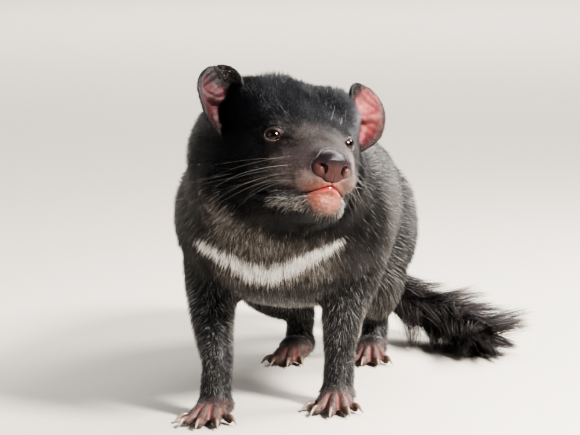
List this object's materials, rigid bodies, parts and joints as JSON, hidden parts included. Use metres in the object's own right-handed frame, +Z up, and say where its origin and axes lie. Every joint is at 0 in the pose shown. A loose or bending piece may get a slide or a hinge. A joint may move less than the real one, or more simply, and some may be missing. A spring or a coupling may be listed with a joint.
{
  "type": "tasmanian devil",
  "caption": "Life-size still model of a standing Tasmanian devil, head turned to its left, brush tail swept to one side, for a museum-type display.",
  "frame": {"origin": "on the floor under the middle of the whole animal", "axes": "+Z up; the breast faces -Y and the tail is towards +Y; the animal's left side is +X, the side its head and tail turn to"},
  "size_m": [0.3112, 0.5932, 0.3127],
  "materials": {
    "coat": "matt black fur with grey guard hairs",
    "tail_hair": "long coarse hair, reddish brown at the tips",
    "foot_skin": "pinkish-brown skin with short grey hair",
    "claw": "pale horn",
    "nose_leather": "moist dark red-brown leather",
    "ear_skin": "thin pink skin, black fur behind",
    "eye": "glossy dark brown"
  },
  "bodies": {
    "root": {"head": "coat", "neck": "coat", "trunk": "coat", "fore_left_leg": "coat", "fore_right_leg": "coat", "hind_left_leg": "coat", "hind_right_leg": "coat", "tail_root": "coat", "tail_brush": "tail_hair", "nose": "nose_leather", "ear_left": "ear_skin", "ear_right": "ear_skin", "eye_left": "eye", "eye_right": "eye", "fore_left_paw": "foot_skin", "fore_left_claw_1": "claw", "fore_left_claw_2": "claw", "fore_left_claw_3": "claw", "fore_left_claw_4": "claw", "fore_left_claw_5": "claw", "fore_right_paw": "foot_skin", "fore_right_claw_1": "claw", "fore_right_claw_2": "claw", "fore_right_claw_3": "claw", "fore_right_claw_4": "claw", "fore_right_claw_5": "claw", "hind_left_paw": "foot_skin", "hind_left_claw_1": "claw", "hind_left_claw_2": "claw", "hind_left_claw_3": "claw", "hind_left_claw_4": "claw", "hind_right_paw": "foot_skin", "hind_right_claw_1": "claw", "hind_right_claw_2": "claw", "hind_right_claw_3": "claw", "hind_right_claw_4": "claw"}
  },
  "joints": []
}
